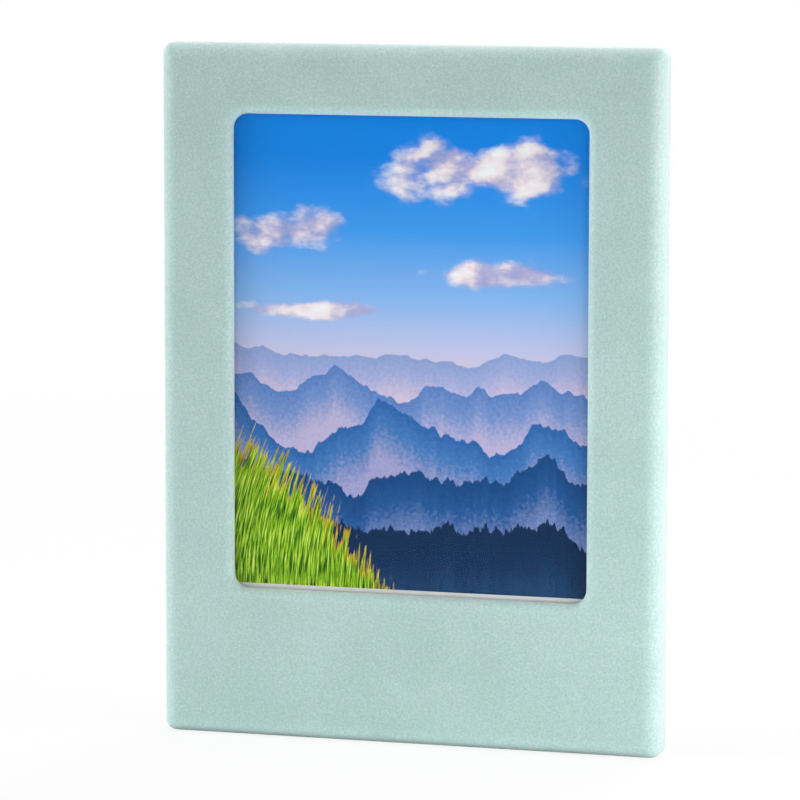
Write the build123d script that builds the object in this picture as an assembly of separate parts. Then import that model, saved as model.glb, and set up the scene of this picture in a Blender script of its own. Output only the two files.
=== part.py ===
from build123d import *
import os

# Magnetic photo frame as it hangs on an upright steel surface. It faces -Y, its top is +Z.
# Origin: middle of the flat rear face, which the magnets hold against that surface. Millimetres.
# Everything is sized outwards from the instant-film print that the frame carries.

# Print: an outer sheet with the image opening, the image layer and the dark backing
print_width = 54.0
print_height = 86.0
print_corner = 1.0
border_thickness = 0.15
picture_thickness = 0.15
backing_thickness = 0.3
image_lap = 0.7
image_foot_gap = 0.55
image_corner = 0.6
picture_lap = 1.5
print_clearance = 0.2

# Window in the face: how much of the print it covers at each side, below and above
window_side = 3.2
window_foot = 17.2
window_head = 6.6
window_corner = 1.9
window_round = 1.3

# Clear sheet in its rebate behind the window
sheet_thickness = 0.4
sheet_lap = 2.0
sheet_corner = 1.0
sheet_clearance = 0.1

# Moulded front frame
face_thickness = 1.8
rim_wall = 1.3
end_ledge = 1.0
side_ledge = 1.1
channel_width = 3.1
guide_rib = 0.9
guide_rise = 1.2
thumb_gap = 15.0
outer_corner = 1.4
front_round = 2.2
rear_round = 0.7
pocket_corner = 0.8
pocket_lead = 0.25
cross_rib = 0.8
cross_rib_rise = 1.2
cross_rib_shares = (0.03, 0.265, 0.415, 0.585, 0.735, 0.97)
notch_radius = 7.0
notch_depth = 2.0

# Back cover
cover_thickness = 1.5
cover_clearance = 0.15
cover_round = 0.3
seat_gap = 0.05
print_gap = 0.05
press_height = 0.8
press_rib = 1.0
press_ring_inset = 3.0
press_ring_corner = 3.0
press_upright_shares = (0.33, 0.67)
press_rung_shares = (0.2, 0.4, 0.6, 0.8)
tab_length = 9.0
tab_thickness = 0.9
tab_height = 1.2
tab_clearance = 0.1
tab_lead = 0.35
tab_shares = (0.34, 0.5, 0.66)

# Bar magnets, nickel plated
magnet_length = 10.0
magnet_width = 3.0
frame_magnet_thickness = 1.5
cover_magnet_thickness = 1.0
magnet_edge = 0.15
magnet_clearance = 0.05
frame_magnet_recess = 0.1
cover_magnet_recess = 0.1
magnet_end_distance = 14.0
boss_wall = 1.0

# Shallow round marks that the ejector pins leave on the inner side of both mouldings
pin_mark_radius = 1.5
pin_mark_depth = 0.1
cover_mark_x_shares = (-0.29, 0.29)
cover_mark_z_shares = (-0.36, 0, 0.36)
frame_mark_x_shares = (-0.3, 0.3)

# How far a cutting solid runs past what it cuts
overrun = 1.0

# Height and width, from the print out to the rim
cavity_height = print_height + 2 * print_clearance
pocket_height = cavity_height + 2 * end_ledge
frame_height = pocket_height + 2 * rim_wall
guide_inner_x = print_width / 2 + print_clearance
guide_outer_x = guide_inner_x + guide_rib
cavity_width = 2 * (guide_outer_x + channel_width)
pocket_width = cavity_width + 2 * side_ledge
frame_width = pocket_width + 2 * rim_wall
cavity_foot_z = -cavity_height / 2
print_foot_z = -print_height / 2

# Depth, from the face back to the cover
print_thickness = border_thickness + picture_thickness + backing_thickness
stack_depth = face_thickness + print_gap + print_thickness + print_gap
frame_depth = stack_depth + press_height + cover_thickness
rear_y = 0
front_y = rear_y - frame_depth
inner_y = front_y + face_thickness
sheet_y = inner_y - sheet_thickness
print_y = inner_y + print_gap
picture_y = print_y + border_thickness
backing_y = picture_y + picture_thickness
print_back_y = backing_y + backing_thickness
press_y = print_back_y + print_gap
cover_y = rear_y - cover_thickness
seat_y = cover_y - seat_gap

# Places that several pieces share
window_width = print_width - 2 * window_side
window_height = print_height - window_foot - window_head
window_foot_z = print_foot_z + window_foot
window_mid_z = window_foot_z + window_height / 2
sheet_width = window_width + 2 * sheet_lap
sheet_height = window_height + 2 * sheet_lap
cover_width = pocket_width - 2 * cover_clearance
cover_height = pocket_height - 2 * cover_clearance
magnet_x = guide_outer_x + magnet_clearance + magnet_width / 2
magnet_zs = (
    print_foot_z + magnet_end_distance,
    print_foot_z + print_height - magnet_end_distance,
)
magnet_slot_width = magnet_width + 2 * magnet_clearance
magnet_slot_length = magnet_length + 2 * magnet_clearance
frame_magnet_y = seat_y - frame_magnet_recess - frame_magnet_thickness
cover_magnet_y = rear_y - cover_magnet_recess - cover_magnet_thickness


def panel(width, height, corner, y_front, y_rear, z_middle=0):
    """Rounded rectangle seen from the front, between two depths."""
    plane = Plane(origin=(0, y_rear, z_middle), x_dir=(1, 0, 0), z_dir=(0, -1, 0))
    return extrude(plane * RectangleRounded(width, height, corner), y_rear - y_front)


def block(x_limits, y_limits, z_limits):
    """Plain block between pairs of limits, each pair in either order."""
    spans = [sorted(pair) for pair in (x_limits, y_limits, z_limits)]
    sizes = [high - low for low, high in spans]
    middles = [(high + low) / 2 for low, high in spans]
    return Pos(*middles) * Box(*sizes)


def share_z(share):
    """Height of a place given as a share of the cavity's height."""
    return cavity_foot_z + share * cavity_height


def around(middle, length):
    return (middle - length / 2, middle + length / 2)


def frame_shell():
    """Outer form with its soft front edge, the cover's pocket, the cavity and the window."""
    shell = panel(frame_width, frame_height, outer_corner, front_y, rear_y)
    shell = fillet(shell.edges().group_by(Axis.Y)[0], front_round)
    shell = fillet(shell.edges().group_by(Axis.Y)[-1], rear_round)
    pocket_rear_y = rear_y + overrun
    shell -= panel(pocket_width, pocket_height, pocket_corner, seat_y, pocket_rear_y)
    rim = shell.faces().sort_by(Axis.Y)[-1]
    shell = chamfer(rim.inner_wires()[0].edges(), pocket_lead)
    shell -= panel(cavity_width, cavity_height, pocket_corner, inner_y, pocket_rear_y)
    shell -= panel(
        window_width, window_height, window_corner, front_y - overrun, inner_y + overrun, window_mid_z
    )
    face = shell.faces().sort_by(Axis.Y)[0]
    shell = fillet(face.inner_wires()[0].edges(), window_round)
    shell -= panel(
        sheet_width + 2 * sheet_clearance,
        sheet_height + 2 * sheet_clearance,
        sheet_corner + sheet_clearance,
        sheet_y,
        inner_y + overrun,
        window_mid_z,
    )
    return shell


def pin_mark(x, y, z):
    """Cutter for one ejector mark, centred on a face that is square to Y."""
    return Pos(x, y, z) * Rot(X=90) * Cylinder(pin_mark_radius, 2 * pin_mark_depth)


def side_ribs(side):
    """Guide rib beside the print, its bosses for the magnets and the cross ribs of the channel."""
    guide_x = (side * guide_inner_x, side * guide_outer_x)
    channel_x = (side * guide_outer_x, side * cavity_width / 2)
    guide_y = (inner_y, inner_y + guide_rise)
    cavity_top_z = cavity_foot_z + cavity_height
    ribs = block(guide_x, guide_y, (cavity_foot_z, -thumb_gap / 2))
    ribs += block(guide_x, guide_y, (thumb_gap / 2, cavity_top_z))
    for share in cross_rib_shares:
        ribs += block(channel_x, (inner_y, inner_y + cross_rib_rise), around(share_z(share), cross_rib))
    boss_x = (side * guide_inner_x, side * cavity_width / 2)
    for level in magnet_zs:
        ribs += block(boss_x, (inner_y, seat_y), around(level, magnet_slot_length + 2 * boss_wall))
    return ribs


def front_frame():
    """Moulded front: shell, print guides, magnet bosses and the nail notch in the lower rim."""
    frame = frame_shell()
    for side in (-1, 1):
        frame += side_ribs(side)
        for level in magnet_zs:
            slot_x = around(side * magnet_x, magnet_slot_width)
            frame -= block(slot_x, (frame_magnet_y, rear_y), around(level, magnet_slot_length))
    for share in frame_mark_x_shares:
        frame -= pin_mark(share * print_width, inner_y, print_foot_z + window_foot / 2)
    notch_foot_z = -frame_height / 2 - overrun
    notch_middle = Pos(0, rear_y + notch_radius - notch_depth, (notch_foot_z + cavity_foot_z) / 2)
    return frame - notch_middle * Cylinder(notch_radius, cavity_foot_z - notch_foot_z)


def clear_window():
    return panel(sheet_width, sheet_height, sheet_corner, sheet_y, inner_y, window_mid_z)


def print_border():
    """White outer sheet. Its opening is wider than the window, and stops short of the window's foot."""
    border = panel(print_width, print_height, print_corner, print_y, picture_y)
    image_foot_z = window_foot_z + image_foot_gap
    image_head_z = window_foot_z + window_height + image_lap
    return border - panel(
        window_width + 2 * image_lap,
        image_head_z - image_foot_z,
        image_corner,
        print_y - overrun,
        picture_y + overrun,
        (image_foot_z + image_head_z) / 2,
    )


def print_picture():
    """Image layer, lapped all round behind the opening of the outer sheet."""
    picture_width = window_width + 2 * image_lap + 2 * picture_lap
    picture_height = window_height + image_lap + 2 * picture_lap
    picture_mid_z = window_mid_z + image_lap / 2
    return panel(picture_width, picture_height, print_corner, picture_y, backing_y, picture_mid_z)


def print_backing():
    """Dark backing, with a thicker frame round the image layer that carries the outer sheet."""
    backing = panel(print_width, print_height, print_corner, picture_y, print_back_y)
    return backing - print_picture()


def press_ribs():
    """Ring and ladder of ribs inside the cover that hold the print against the clear sheet."""
    ring_width = print_width - 2 * press_ring_inset
    ring_height = print_height - 2 * press_ring_inset
    inner_width = ring_width - 2 * press_rib
    inner_height = ring_height - 2 * press_rib
    ribs = panel(ring_width, ring_height, press_ring_corner, press_y, cover_y)
    inner_corner = press_ring_corner - press_rib
    ribs -= panel(inner_width, inner_height, inner_corner, press_y - overrun, cover_y + overrun)
    ring_x = (-inner_width / 2, inner_width / 2)
    ring_z = (-inner_height / 2, inner_height / 2)
    for share in press_upright_shares:
        ribs += block(around(ring_x[0] + share * inner_width, press_rib), (press_y, cover_y), ring_z)
    for share in press_rung_shares:
        ribs += block(ring_x, (press_y, cover_y), around(ring_z[0] + share * inner_height, press_rib))
    return ribs


def locating_tab(side, share):
    """Tab that slides down inside the ledge and centres the cover, with a lead-in at its end."""
    outer_x = side * (cavity_width / 2 - tab_clearance)
    inner_x = side * (cavity_width / 2 - tab_clearance - tab_thickness)
    tab = block((inner_x, outer_x), (cover_y - tab_height, cover_y), around(share_z(share), tab_length))
    tip = tab.faces().sort_by(Axis.Y)[0]
    return chamfer(tip.edges(), tab_lead)


def back_cover():
    """Cover plate with the press ribs and tabs inside, and open slots for its magnets outside."""
    cover = panel(cover_width, cover_height, pocket_corner, cover_y, rear_y)
    cover = fillet(cover.edges().group_by(Axis.Y)[-1], cover_round)
    cover += press_ribs()
    for x_share in cover_mark_x_shares:
        for z_share in cover_mark_z_shares:
            cover -= pin_mark(x_share * print_width, cover_y, z_share * print_height)
    for side in (-1, 1):
        for share in tab_shares:
            cover += locating_tab(side, share)
        for level in magnet_zs:
            slot_x = around(side * magnet_x, magnet_slot_width)
            cover -= block(slot_x, (cover_magnet_y, rear_y + overrun), around(level, magnet_slot_length))
    return cover


def bar_magnet(side, level, y_front, thickness):
    """Plated bar magnet with broken edges, long way up."""
    magnet = block(
        around(side * magnet_x, magnet_width), (y_front, y_front + thickness), around(level, magnet_length)
    )
    return chamfer(magnet.edges(), magnet_edge)


def magnet_nodes():
    nodes = {}
    for side, side_name in ((-1, "left"), (1, "right")):
        for level, level_name in zip(magnet_zs, ("lower", "upper")):
            place = f"{level_name}_{side_name}"
            nodes[f"frame_magnet_{place}"] = bar_magnet(side, level, frame_magnet_y, frame_magnet_thickness)
            nodes[f"cover_magnet_{place}"] = bar_magnet(side, level, cover_magnet_y, cover_magnet_thickness)
    return nodes


nodes = {
    "front_frame": front_frame(),
    "clear_window": clear_window(),
    "print_border": print_border(),
    "print_picture": print_picture(),
    "print_backing": print_backing(),
    "back_cover": back_cover(),
}
nodes.update(magnet_nodes())

os.makedirs("parts", exist_ok=True)
for name, shape in nodes.items():
    export_step(shape, f"parts/{name}.step")
print(f"{len(nodes)} nodes, {frame_width:.1f} x {frame_depth:.1f} x {frame_height:.1f} mm")
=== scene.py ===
import bpy
import math
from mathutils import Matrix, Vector


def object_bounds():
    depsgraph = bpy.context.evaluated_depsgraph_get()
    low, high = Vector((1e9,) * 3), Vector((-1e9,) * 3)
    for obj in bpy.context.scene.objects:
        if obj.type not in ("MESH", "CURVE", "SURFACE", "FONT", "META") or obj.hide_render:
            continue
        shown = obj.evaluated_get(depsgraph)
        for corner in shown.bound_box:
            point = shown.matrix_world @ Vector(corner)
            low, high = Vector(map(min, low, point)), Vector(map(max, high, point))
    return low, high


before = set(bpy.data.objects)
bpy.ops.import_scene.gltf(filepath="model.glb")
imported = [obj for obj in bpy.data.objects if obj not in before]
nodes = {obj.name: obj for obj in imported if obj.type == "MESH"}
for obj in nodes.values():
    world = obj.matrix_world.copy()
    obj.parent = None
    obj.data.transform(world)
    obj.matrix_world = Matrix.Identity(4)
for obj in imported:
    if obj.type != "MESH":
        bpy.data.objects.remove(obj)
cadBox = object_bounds()
mm = 0.001


# shared helpers

def hexToLinear(code):
    # sRGB hex to the linear colour that shaders take
    channels = [int(code[i:i + 2], 16) / 255 for i in (1, 3, 5)]
    linear = [c / 12.92 if c <= 0.04045 else ((c + 0.055) / 1.055) ** 2.4 for c in channels]
    return (*linear, 1.0)


def addNode(tree, kind, settings=None, links=None):
    # settings are the node's properties or inputs, links are the sockets that feed it
    node = tree.nodes.new(kind)
    for key, value in (settings or {}).items():
        if key == "stops":  # a colour ramp's places and hex colours
            ramp = node.color_ramp.elements
            while len(ramp) < len(value):
                ramp.new(1.0)
            for stop, (position, code) in zip(ramp, value):
                stop.position = position
                stop.color = hexToLinear(code)
        elif isinstance(key, str) and hasattr(node, key):
            setattr(node, key, value)
        else:
            node.inputs[key].default_value = value
    for key, socket in (links or {}).items():
        tree.links.new(socket, node.inputs[key])
    return node


def newMaterial(name):
    material = bpy.data.materials.new(name)
    material.use_nodes = True
    material.node_tree.nodes.clear()
    return material, material.node_tree


def dress(names, material):
    for name in names:
        nodes[name].data.materials.clear()
        nodes[name].data.materials.append(material)


plainWhite = hexToLinear("#FFFFFF")
noiseSpan = {"From Min": 0.3, "From Max": 0.7}  # a noise texture seldom leaves this span


# camera, a long lens a little to the right and above

camera = {
    "azimuth": 16.4,       # degrees to the right of straight on
    "elevation": 6.9,      # degrees above the level
    "distance": 558 * mm,
    "lens": 193.8,         # millimetres, and so is the sensor's width
    "sensorWidth": 36,
    "roll": 0.11,          # degrees
    "aim": (-1.55 * mm, -2.4 * mm, -0.42 * mm),
    "clipStart": 10 * mm,
}


def placeCamera(c):
    data = bpy.data.cameras.new("camera")
    data.lens = c["lens"]
    data.sensor_width = c["sensorWidth"]
    data.clip_start = c["clipStart"]
    shot = bpy.data.objects.new("camera", data)
    azimuth, elevation = math.radians(c["azimuth"]), math.radians(c["elevation"])
    away = Vector((
        math.sin(azimuth) * math.cos(elevation),
        -math.cos(azimuth) * math.cos(elevation),
        math.sin(elevation),
    ))
    shot.location = Vector(c["aim"]) + away * c["distance"]
    shot.rotation_euler = away.to_track_quat("Z", "Y").to_euler()
    shot.rotation_euler.rotate_axis("Z", math.radians(c["roll"]))
    bpy.context.scene.collection.objects.link(shot)
    bpy.context.scene.camera = shot


placeCamera(camera)
print("camera placed")


# studio, a white tent with soft boxes; sizes and places in metres

studio = {
    "worldLevel": 0.14,
    "floorSize": 3.0,
    "floorColour": "#F4F5F5",
    "floorGlow": 0.86,     # plain white share of the floor near the object, the rest holds its shadow
    "glowReach": (0.10, 0.45),  # the floor turns wholly white between these distances
    "lamps": {             # place, where it points, width, height, watts, colour
        "rightLamp": ((0.65, -0.06, 0.13), (0, 0, 0), 0.45, 0.32, 3.4, "#FFF1F3"),
        "leftLamp": ((-0.61, -0.21, 0.13), (0, 0, 0), 0.45, 0.32, 2.7, "#FFFDFE"),
        "topLamp": ((0.0, 0.17, 0.56), (0, 0, 0), 0.36, 0.36, 1.25, "#FFFFFF"),
        "foreLamp": ((0.0, -0.09, 0.58), (0, 0, 0), 0.36, 0.12, 1.0, "#FFFFFF"),
        "rearLamp": ((0.1, 0.52, 0.34), (0, 0, 0), 0.5, 0.32, 1.0, "#FFFFFF"),
        "tableLamp": ((0.09, -0.085, -0.0454), (0.09, -0.085, 1), 0.34, 0.16, 0.076, "#FFFFFF"),
        "lowLamp": ((0.10, -0.08, -0.030), (0.03, 0, -0.035), 0.04, 0.02, 0.024, "#FFFFFF"),
    },
    "notMirrored": ("tableLamp", "lowLamp"),  # stand in for light off the table, so no surface shows them
}


def addWhiteRays(tree):
    # 1 for the rays that see the backdrop as plain white: straight on, through the clear sheet or mirrored
    path = addNode(tree, "ShaderNodeLightPath")
    seen = addNode(tree, "ShaderNodeMath", {"operation": "MAXIMUM"},
                   {0: path.outputs["Is Camera Ray"], 1: path.outputs["Is Transmission Ray"]})
    return addNode(tree, "ShaderNodeMath", {"operation": "MAXIMUM"},
                   {0: seen.outputs[0], 1: path.outputs["Is Glossy Ray"]}).outputs[0]


def lightWorld(s):
    world = bpy.data.worlds.new("studio")
    bpy.context.scene.world = world
    world.use_nodes = True
    tree = world.node_tree
    tree.nodes.clear()
    light = addNode(tree, "ShaderNodeBackground", {"Color": plainWhite, "Strength": s["worldLevel"]})
    white = addNode(tree, "ShaderNodeBackground", {"Color": plainWhite, "Strength": 1.0})
    mix = addNode(tree, "ShaderNodeMixShader", None,
                  {0: addWhiteRays(tree), 1: light.outputs[0], 2: white.outputs[0]})
    addNode(tree, "ShaderNodeOutputWorld", None, {"Surface": mix.outputs[0]})


def makeFloorPaper(s):
    material, tree = newMaterial("studioFloor")
    near, far = s["glowReach"]
    place = addNode(tree, "ShaderNodeTexCoord").outputs["Object"]
    reach = addNode(tree, "ShaderNodeVectorMath", {"operation": "LENGTH"}, {0: place})
    share = addNode(tree, "ShaderNodeMapRange", {
        "From Min": near, "From Max": far, "To Min": s["floorGlow"],
    }, {"Value": reach.outputs["Value"]})
    glow = addNode(tree, "ShaderNodeMath", {"operation": "MULTIPLY"},
                   {0: addWhiteRays(tree), 1: share.outputs["Result"]})
    paper = addNode(tree, "ShaderNodeBsdfDiffuse", {"Color": hexToLinear(s["floorColour"])})
    white = addNode(tree, "ShaderNodeEmission", {"Color": plainWhite, "Strength": 1.0})
    mix = addNode(tree, "ShaderNodeMixShader", None,
                  {0: glow.outputs[0], 1: paper.outputs[0], 2: white.outputs[0]})
    addNode(tree, "ShaderNodeOutputMaterial", None, {"Surface": mix.outputs[0]})
    return material


def placeFloor(s):
    half = s["floorSize"] / 2
    level = cadBox[0][2]
    corners = [(-half, -half, level), (half, -half, level), (half, half, level), (-half, half, level)]
    mesh = bpy.data.meshes.new("floor")
    mesh.from_pydata(corners, [], [(0, 1, 2, 3)])
    mesh.materials.append(makeFloorPaper(s))
    floor = bpy.data.objects.new("floor", mesh)
    bpy.context.scene.collection.objects.link(floor)


def placeLamps(s):
    for name, (place, target, width, height, watts, colour) in s["lamps"].items():
        data = bpy.data.lights.new(name, "AREA")
        data.shape = "RECTANGLE"
        data.size, data.size_y = width, height
        data.energy = watts
        data.color = hexToLinear(colour)[:3]
        lamp = bpy.data.objects.new(name, data)
        lamp.location = place
        lamp.rotation_euler = (Vector(place) - Vector(target)).to_track_quat("Z", "Y").to_euler()
        lamp.visible_camera = False
        lamp.visible_glossy = name not in s["notMirrored"]
        lamp.visible_transmission = lamp.visible_glossy  # what the clear sheet mirrors counts as this
        bpy.context.scene.collection.objects.link(lamp)


lightWorld(studio)
placeFloor(studio)
placeLamps(studio)
bpy.context.scene.view_settings.view_transform = "Standard"
print("studio lit")


# ABS, injection moulded in a spark-eroded tool: dull and even, with a pearly speck and light in thin edges

mouldedMint = {
    "specks": [(0.30, "#A7C3BE"), (0.50, "#B2CDC8"), (0.70, "#C0D8D4")],
    "roughness": 0.66,
    "ior": 1.54,
    "subsurface": 1.0,
    "scatter": (1.1, 1.5, 1.4),  # millimetres that red, green and blue light travel inside
    "haze": 0.26,                # pale veil that the dull grain gives at a flat angle
    "hazeRoughness": 0.45,
    "grain": 0.28 * mm,          # real grit is near 0.05 mm, drawn coarser so that it shows
    "grainDetail": 2.0,
    "grainRoughness": 0.6,
    "grainBump": {"Strength": 0.6, "Distance": 0.012 * mm},
    "cloud": 9 * mm,             # slow drift of the tint where the melt flowed
    "cloudDetail": 2.0,
    "cloudDrift": 0.05,          # how far it moves the specks along their tints
}


def makeMouldedMint(m, name):
    material, tree = newMaterial(name)
    place = addNode(tree, "ShaderNodeTexCoord").outputs["Object"]
    grain = addNode(tree, "ShaderNodeTexNoise", {
        "Scale": 1 / m["grain"], "Detail": m["grainDetail"], "Roughness": m["grainRoughness"],
    }, {"Vector": place})
    cloud = addNode(tree, "ShaderNodeTexNoise", {"Scale": 1 / m["cloud"], "Detail": m["cloudDetail"]},
                    {"Vector": place})
    drift = addNode(tree, "ShaderNodeMapRange", {
        **noiseSpan, "To Min": -m["cloudDrift"], "To Max": m["cloudDrift"],
    }, {"Value": cloud.outputs["Fac"]})
    level = addNode(tree, "ShaderNodeMath", {"operation": "ADD"},
                    {0: grain.outputs["Fac"], 1: drift.outputs["Result"]})
    tint = addNode(tree, "ShaderNodeValToRGB", {"stops": m["specks"]}, {"Fac": level.outputs[0]})
    bump = addNode(tree, "ShaderNodeBump", m["grainBump"], {"Height": grain.outputs["Fac"]})
    plastic = addNode(tree, "ShaderNodeBsdfPrincipled", {
        "Roughness": m["roughness"],
        "IOR": m["ior"],
        "Subsurface Weight": m["subsurface"],
        "Subsurface Radius": m["scatter"],
        "Subsurface Scale": mm,
        "Sheen Weight": m["haze"],
        "Sheen Roughness": m["hazeRoughness"],
    }, {"Base Color": tint.outputs["Color"], "Normal": bump.outputs["Normal"]})
    addNode(tree, "ShaderNodeOutputMaterial", None, {"Surface": plastic.outputs["BSDF"]})
    return material


dress(["front_frame"], makeMouldedMint(mouldedMint, "mouldedMintAbs"))
dress(["back_cover"], makeMouldedMint(mouldedMint, "mouldedMintCoverAbs"))
print("moulded frame and cover dressed")


# PET sheet, extruded and die cut: clear, glossy, with a trace of waviness and hardly any glare

clearSheet = {
    "colour": "#FAFCFC",
    "roughness": 0.03,
    "ior": 1.57,
    "glare": "#4A4A4A",      # the coated sheet throws back far less than bare PET does
    "wave": 14 * mm,
    "waveDetail": 1.0,
    "waveBump": {"Strength": 0.3, "Distance": 0.01 * mm},
}


def makeClearSheet(m):
    material, tree = newMaterial("clearPetSheet")
    place = addNode(tree, "ShaderNodeTexCoord").outputs["Object"]
    wave = addNode(tree, "ShaderNodeTexNoise", {"Scale": 1 / m["wave"], "Detail": m["waveDetail"]},
                   {"Vector": place})
    bump = addNode(tree, "ShaderNodeBump", m["waveBump"], {"Height": wave.outputs["Fac"]})
    sheet = addNode(tree, "ShaderNodeBsdfPrincipled", {
        "Base Color": hexToLinear(m["colour"]),
        "Roughness": m["roughness"],
        "IOR": m["ior"],
        "Specular Tint": hexToLinear(m["glare"]),
        "Transmission Weight": 1.0,
    }, {"Normal": bump.outputs["Normal"]})
    through = addNode(tree, "ShaderNodeBsdfTransparent", {"Color": hexToLinear(m["colour"])})
    path = addNode(tree, "ShaderNodeLightPath")
    lit = addNode(tree, "ShaderNodeMath", {"operation": "MAXIMUM"},  # light passes to the print unbent
                  {0: path.outputs["Is Shadow Ray"], 1: path.outputs["Is Diffuse Ray"]})
    mix = addNode(tree, "ShaderNodeMixShader", None,
                  {0: lit.outputs[0], 1: sheet.outputs[0], 2: through.outputs[0]})
    addNode(tree, "ShaderNodeOutputMaterial", None, {"Surface": mix.outputs[0]})
    return material


dress(["clear_window"], makeClearSheet(clearSheet))
print("clear sheet dressed")


# Polyester film, white and calendered: smooth with a low gloss, the border of the print

whiteFilm = {
    "tints": [(0.35, "#EDEAE8"), (0.65, "#F3F1EF")],
    "roughness": (0.28, 0.36),   # from the glossiest spot to the dullest
    "ior": 1.60,
    "cloud": 2.2 * mm,
    "bump": {"Strength": 0.5, "Distance": 0.004 * mm},
}

# Polyester film, black and matt: the rear of the print, soft grey where light grazes it

darkFilm = {
    "tints": [(0.35, "#26252B"), (0.65, "#1D1C22")],
    "roughness": (0.42, 0.50),
    "ior": 1.60,
    "cloud": 0.5 * mm,
    "bump": {"Strength": 0.5, "Distance": 0.008 * mm},
}

filmNoise = {"Detail": 5.0, "Roughness": 0.6}  # shared by both films


def makeFilm(m, name):
    material, tree = newMaterial(name)
    place = addNode(tree, "ShaderNodeTexCoord").outputs["Object"]
    cloud = addNode(tree, "ShaderNodeTexNoise", {"Scale": 1 / m["cloud"], **filmNoise}, {"Vector": place})
    tint = addNode(tree, "ShaderNodeValToRGB", {"stops": m["tints"]}, {"Fac": cloud.outputs["Fac"]})
    glossy, dull = m["roughness"]
    gloss = addNode(tree, "ShaderNodeMapRange", {**noiseSpan, "To Min": glossy, "To Max": dull},
                    {"Value": cloud.outputs["Fac"]})
    bump = addNode(tree, "ShaderNodeBump", m["bump"], {"Height": cloud.outputs["Fac"]})
    film = addNode(tree, "ShaderNodeBsdfPrincipled", {"IOR": m["ior"]}, {
        "Base Color": tint.outputs["Color"],
        "Roughness": gloss.outputs["Result"],
        "Normal": bump.outputs["Normal"],
    })
    addNode(tree, "ShaderNodeOutputMaterial", None, {"Surface": film.outputs["BSDF"]})
    return material


dress(["print_border"], makeFilm(whiteFilm, "whitePolyesterFilm"))
dress(["print_backing"], makeFilm(darkFilm, "blackPolyesterFilm"))
print("print films dressed")


# Nickel on sintered magnet, barrel plated: a soft silver shine, fine grinding lines and a slight waviness

nickelPlate = {
    "tints": [(0.35, "#B2B5B8"), (0.6, "#C1C4C6")],
    "roughness": (0.23, 0.13),   # in the lines and between them
    "line": 0.06 * mm,
    "lineDetail": 3.0,
    "lineStretch": 14,           # the lines run up the height, this much longer than wide
    "lineBump": {"Strength": 0.4, "Distance": 0.002 * mm},
    "wave": 1.8 * mm,
    "waveDetail": 1.0,
    "waveBump": {"Strength": 0.5, "Distance": 0.05 * mm},
}


def makeNickelPlate(m):
    material, tree = newMaterial("nickelPlate")
    place = addNode(tree, "ShaderNodeTexCoord").outputs["Object"]
    drawn = addNode(tree, "ShaderNodeMapping", {"Scale": (1, 1, 1 / m["lineStretch"])}, {"Vector": place})
    lines = addNode(tree, "ShaderNodeTexNoise", {"Scale": 1 / m["line"], "Detail": m["lineDetail"]},
                    {"Vector": drawn.outputs["Vector"]})
    tint = addNode(tree, "ShaderNodeValToRGB", {"stops": m["tints"]}, {"Fac": lines.outputs["Fac"]})
    dull, glossy = m["roughness"]
    gloss = addNode(tree, "ShaderNodeMapRange", {**noiseSpan, "To Min": dull, "To Max": glossy},
                    {"Value": lines.outputs["Fac"]})
    wave = addNode(tree, "ShaderNodeTexNoise", {"Scale": 1 / m["wave"], "Detail": m["waveDetail"]},
                   {"Vector": place})
    swell = addNode(tree, "ShaderNodeBump", m["waveBump"], {"Height": wave.outputs["Fac"]})
    bump = addNode(tree, "ShaderNodeBump", m["lineBump"],
                   {"Height": lines.outputs["Fac"], "Normal": swell.outputs["Normal"]})
    metal = addNode(tree, "ShaderNodeBsdfPrincipled", {"Metallic": 1.0}, {
        "Base Color": tint.outputs["Color"],
        "Roughness": gloss.outputs["Result"],
        "Normal": bump.outputs["Normal"],
    })
    addNode(tree, "ShaderNodeOutputMaterial", None, {"Surface": metal.outputs["BSDF"]})
    return material


dress([name for name in nodes if "magnet" in name], makeNickelPlate(nickelPlate))
print("magnets dressed")


# Instant film picture: dyes under a smooth clear coat, rich colour with no grain

pictureFilm = {
    "roughness": 0.30,
    "ior": 1.50,
    "glare": 0.08,           # the picture lies under the sheet and shows no shine of its own
}

# The view in it is made up: cloud over blue mountain ranges in haze, with tall grass in front

sky = {
    "foot": 2 * mm,
    "head": 37 * mm,
    "tints": [(0.0, "#E6CBDB"), (0.12, "#C9CBEE"), (0.30, "#8FBEF6"), (0.55, "#43A0F4"), (0.82, "#0A8AEE"),
              (1.0, "#0088EC")],
    "clouds": [              # middle, half width, half height
        ((10 * mm, 30 * mm), 19 * mm, 5.5 * mm),
        ((-15 * mm, 21 * mm), 11 * mm, 4.0 * mm),
        ((13 * mm, 16 * mm), 13 * mm, 2.2 * mm),
        ((-12 * mm, 11 * mm), 15 * mm, 1.5 * mm),
    ],
    "gather": 0.34,          # how firmly the ellipses hold the billows together
    "edge": (0.56, 0.72),    # from the first wisp to full cover
    "billow": {"Scale": 1 / (7.5 * mm), "Detail": 8.0, "Roughness": 0.56},
    "stretch": 1.7,          # how much wider than high the billows are
    "sunward": (-0.8 * mm, 0, 1.3 * mm),
    "relief": (-0.16, 0.12),  # from the side away from the sun to the side towards it
    "shades": [(0.0, "#8296D2"), (0.42, "#BDB9E0"), (0.72, "#FBEBF1"), (1.0, "#FFFFFF")],
}

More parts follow.
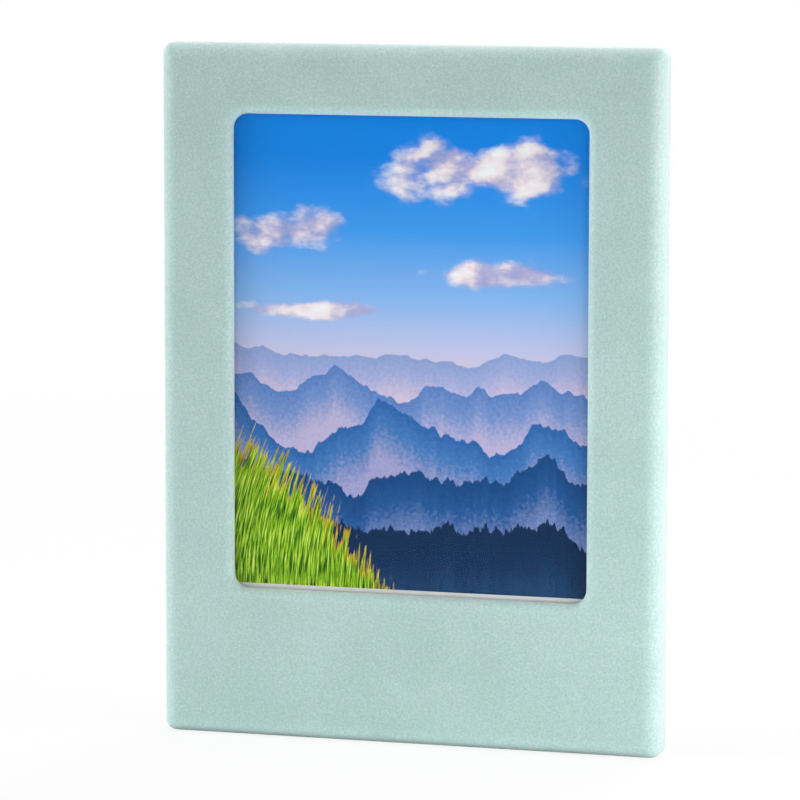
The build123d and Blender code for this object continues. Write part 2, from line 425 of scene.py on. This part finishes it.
mountains = {
    # each range: level, swing, length, tree height, seed, tones from ridge to haze, depth of the full haze
    "ranges": [
        (5.5 * mm, 4.5 * mm, 17 * mm, 0.05 * mm, 3.1, ("#8FA5D8", "#A9B1DF", "#DCC8DF"), 6 * mm),
        (1.0 * mm, 6.5 * mm, 14 * mm, 0.10 * mm, 8.4, ("#5B83C6", "#7B97D0", "#C3B7DA"), 7 * mm),
        (-4.5 * mm, 7.5 * mm, 12 * mm, 0.35 * mm, 15.7, ("#2A66AE", "#4A7EBF", "#A7A5D0"), 8 * mm),
        (-11 * mm, 7.0 * mm, 13 * mm, 0.70 * mm, 23.2, ("#0F457F", "#22599A", "#7D8FC2"), 9 * mm),
        (-18 * mm, 6.0 * mm, 15 * mm, 1.20 * mm, 31.6, ("#07294F", "#0B3159", "#24517F"), 11 * mm),
    ],
    "tonePlaces": (0.0, 0.45, 1.0),  # where on the way down to the haze each of the three tones stands
    "edge": 0.12 * mm,
    "ridge": {"noise_dimensions": "1D", "Scale": 1.0, "Detail": 6.0, "Roughness": 0.5},
    "crowns": {"noise_dimensions": "1D", "Scale": 1.0, "Detail": 2.0, "Roughness": 0.7},
    "treeWidth": 0.75 * mm,
    "forest": {"Scale": 1 / (0.5 * mm), "Detail": 5.0, "Roughness": 0.65},
    "forestDepth": 0.45,
}

grass = {
    "foot": -26 * mm,
    "tall": 25 * mm,         # at the left edge, falling away to the right
    "reach": (-25 * mm, 13 * mm),
    "tuft": 11 * mm,
    "edge": 0.5 * mm,
    "lean": 7 * mm,
    "curve": 2.0,            # 1 for straight blades, more for blades that bend towards the tip
    "blade": (0.42 * mm, 5.5 * mm, 1),
    "blades": {"Scale": 1.0, "Detail": 3.0, "Roughness": 0.6},
    "finer": (1.9, 1.6, 1),  # how much finer than the blades their streaks are
    "streaks": {"Scale": 1.0, "Detail": 4.0, "Roughness": 0.6},
    "streakSpan": (0.32, 0.68),
    "tints": [(0.0, "#12300F"), (0.30, "#3B6F14"), (0.52, "#7DB31B"), (0.72, "#B4D933"), (1.0, "#E2EE78")],
    "seedHead": "#E9AE2B",
    "seedHeadDepth": 2.6 * mm,
    "seedHeadShare": 0.9,
}


def addClumps(tree, place, clumps):
    # 1 in the middle of each ellipse, 0 on its edge; where ellipses meet, the stronger counts
    level = None
    for (x, z), halfWidth, halfHeight in clumps:
        local = addNode(tree, "ShaderNodeMapping", {
            "vector_type": "TEXTURE",
            "Location": (x, 0, z),
            "Scale": (halfWidth, 1, halfHeight),
        }, {"Vector": place})
        reach = addNode(tree, "ShaderNodeVectorMath", {"operation": "LENGTH"}, {0: local.outputs["Vector"]})
        clump = addNode(tree, "ShaderNodeMath", {"operation": "SUBTRACT", 0: 1.0},
                        {1: reach.outputs["Value"]})
        links = {0: clump.outputs[0]} if level is None else {0: clump.outputs[0], 1: level}
        level = addNode(tree, "ShaderNodeMath", {"operation": "MAXIMUM", 1: -1.0}, links).outputs[0]
    return level


def addOver(tree, mask, under, over):
    # lays one colour over another where the mask is 1
    return addNode(tree, "ShaderNodeMix", {"data_type": "RGBA"}, {0: mask, 6: under, 7: over}).outputs[2]


def paintSky(tree, s, flat, z):
    rise = addNode(tree, "ShaderNodeMapRange", {"From Min": s["foot"], "From Max": s["head"]}, {"Value": z})
    air = addNode(tree, "ShaderNodeValToRGB", {"stops": s["tints"]}, {"Fac": rise.outputs["Result"]})
    wide = addNode(tree, "ShaderNodeVectorMath", {"operation": "MULTIPLY", 1: (1 / s["stretch"], 1, 1)},
                   {0: flat})
    sunside = addNode(tree, "ShaderNodeVectorMath", {"operation": "ADD", 1: s["sunward"]},
                      {0: wide.outputs[0]})
    puff = addNode(tree, "ShaderNodeTexNoise", s["billow"], {"Vector": wide.outputs[0]})
    puffSun = addNode(tree, "ShaderNodeTexNoise", s["billow"], {"Vector": sunside.outputs[0]})
    thick = addNode(tree, "ShaderNodeMath", {"operation": "MULTIPLY_ADD", 1: s["gather"]},
                    {0: addClumps(tree, flat, s["clouds"]), 2: puff.outputs["Fac"]})
    wisp, full = s["edge"]
    cover = addNode(tree, "ShaderNodeMapRange", {
        "interpolation_type": "SMOOTHSTEP", "From Min": wisp, "From Max": full,
    }, {"Value": thick.outputs[0]})
    slope = addNode(tree, "ShaderNodeMath", {"operation": "SUBTRACT"},
                    {0: puff.outputs["Fac"], 1: puffSun.outputs["Fac"]})
    shaded, sunny = s["relief"]
    lit = addNode(tree, "ShaderNodeMapRange", {"From Min": shaded, "From Max": sunny},
                  {"Value": slope.outputs[0]})
    cloud = addNode(tree, "ShaderNodeValToRGB", {"stops": s["shades"]}, {"Fac": lit.outputs["Result"]})
    return addOver(tree, cover.outputs["Result"], air.outputs["Color"], cloud.outputs["Color"])


def paintRange(tree, m, mountainRange, under, flat, x, z):
    level, swing, length, trees, seed, tones, haze = mountainRange
    along = addNode(tree, "ShaderNodeMath", {"operation": "MULTIPLY_ADD", 1: 1 / length, 2: seed}, {0: x})
    ridge = addNode(tree, "ShaderNodeTexNoise", m["ridge"], {"W": along.outputs[0]})
    top = addNode(tree, "ShaderNodeMath", {"operation": "MULTIPLY_ADD", 1: 2 * swing, 2: level - swing},
                  {0: ridge.outputs["Fac"]})
    treeStep = addNode(tree, "ShaderNodeMath", {"operation": "DIVIDE", 1: m["treeWidth"]}, {0: x})
    crowns = addNode(tree, "ShaderNodeTexNoise", m["crowns"], {"W": treeStep.outputs[0]})
    top = addNode(tree, "ShaderNodeMath", {"operation": "MULTIPLY_ADD", 1: 2 * trees},
                  {0: crowns.outputs["Fac"], 2: top.outputs[0]})
    below = addNode(tree, "ShaderNodeMath", {"operation": "SUBTRACT"}, {0: top.outputs[0], 1: z})
    mask = addNode(tree, "ShaderNodeMapRange", {"From Max": m["edge"]}, {"Value": below.outputs[0]})
    sunk = addNode(tree, "ShaderNodeMapRange", {"From Max": haze}, {"Value": below.outputs[0]})
    forest = addNode(tree, "ShaderNodeTexNoise", m["forest"], {"Vector": flat})
    patch = addNode(tree, "ShaderNodeMapRange", {
        **noiseSpan, "To Min": -m["forestDepth"] / 2, "To Max": m["forestDepth"] / 2,
    }, {"Value": forest.outputs["Fac"]})
    tone = addNode(tree, "ShaderNodeMath", {"operation": "ADD"},
                   {0: sunk.outputs["Result"], 1: patch.outputs["Result"]})
    slopes = addNode(tree, "ShaderNodeValToRGB", {"stops": list(zip(m["tonePlaces"], tones))},
                     {"Fac": tone.outputs[0]})
    return addOver(tree, mask.outputs["Result"], under, slopes.outputs["Color"])


def paintGrass(tree, g, under, x, z):
    left, right = g["reach"]
    head = g["foot"] + g["tall"]
    up = addNode(tree, "ShaderNodeMapRange", {"From Min": g["foot"], "From Max": head}, {"Value": z})
    bend = addNode(tree, "ShaderNodeMath", {"operation": "POWER", 1: g["curve"]}, {0: up.outputs["Result"]})
    bent = addNode(tree, "ShaderNodeMath", {"operation": "MULTIPLY_ADD", 1: -g["lean"]},
                   {0: bend.outputs[0], 2: x})
    stems = addNode(tree, "ShaderNodeCombineXYZ", None, {"X": bent.outputs[0], "Y": z})
    stems = addNode(tree, "ShaderNodeVectorMath", {"operation": "DIVIDE", 1: g["blade"]},
                    {0: stems.outputs[0]})
    blades = addNode(tree, "ShaderNodeTexNoise", g["blades"], {"Vector": stems.outputs[0]})
    bank = addNode(tree, "ShaderNodeMapRange", {
        "interpolation_type": "SMOOTHSTEP", "From Min": left, "From Max": right,
        "To Min": head - g["tuft"] / 2, "To Max": g["foot"] - g["tuft"],
    }, {"Value": x})
    top = addNode(tree, "ShaderNodeMath", {"operation": "MULTIPLY_ADD", 1: 2 * g["tuft"]},
                  {0: blades.outputs["Fac"], 2: bank.outputs["Result"]})
    top = addNode(tree, "ShaderNodeMath", {"operation": "SUBTRACT", 1: g["tuft"]}, {0: top.outputs[0]})
    below = addNode(tree, "ShaderNodeMath", {"operation": "SUBTRACT"}, {0: top.outputs[0], 1: z})
    mask = addNode(tree, "ShaderNodeMapRange", {"From Max": g["edge"]}, {"Value": below.outputs[0]})
    fine = addNode(tree, "ShaderNodeVectorMath", {"operation": "MULTIPLY", 1: g["finer"]},
                   {0: stems.outputs[0]})
    streaks = addNode(tree, "ShaderNodeTexNoise", g["streaks"], {"Vector": fine.outputs[0]})
    dark, light = g["streakSpan"]
    tone = addNode(tree, "ShaderNodeMapRange", {"From Min": dark, "From Max": light},
                   {"Value": streaks.outputs["Fac"]})
    green = addNode(tree, "ShaderNodeValToRGB", {"stops": g["tints"]}, {"Fac": tone.outputs["Result"]})
    tips = addNode(tree, "ShaderNodeMapRange", {
        "From Max": g["seedHeadDepth"], "To Min": g["seedHeadShare"], "To Max": 0.0,
    }, {"Value": below.outputs[0]})
    gold = addNode(tree, "ShaderNodeRGB")
    gold.outputs[0].default_value = hexToLinear(g["seedHead"])
    green = addOver(tree, tips.outputs["Result"], green.outputs["Color"], gold.outputs[0])
    return addOver(tree, mask.outputs["Result"], under, green)


def makePicture(m):
    material, tree = newMaterial("instantFilmPicture")
    place = addNode(tree, "ShaderNodeTexCoord").outputs["Object"]
    flat = addNode(tree, "ShaderNodeVectorMath", {"operation": "MULTIPLY", 1: (1, 0, 1)},
                   {0: place}).outputs[0]
    split = addNode(tree, "ShaderNodeSeparateXYZ", None, {0: flat})
    x, z = split.outputs["X"], split.outputs["Z"]
    view = paintSky(tree, sky, flat, z)
    for mountainRange in mountains["ranges"]:
        view = paintRange(tree, mountains, mountainRange, view, flat, x, z)
    view = paintGrass(tree, grass, view, x, z)
    film = addNode(tree, "ShaderNodeBsdfPrincipled", {
        "Roughness": m["roughness"],
        "IOR": m["ior"],
        "Specular IOR Level": m["glare"],
    }, {"Base Color": view})
    addNode(tree, "ShaderNodeOutputMaterial", None, {"Surface": film.outputs["BSDF"]})
    return material


dress(["print_picture"], makePicture(pictureFilm))
print("picture dressed")
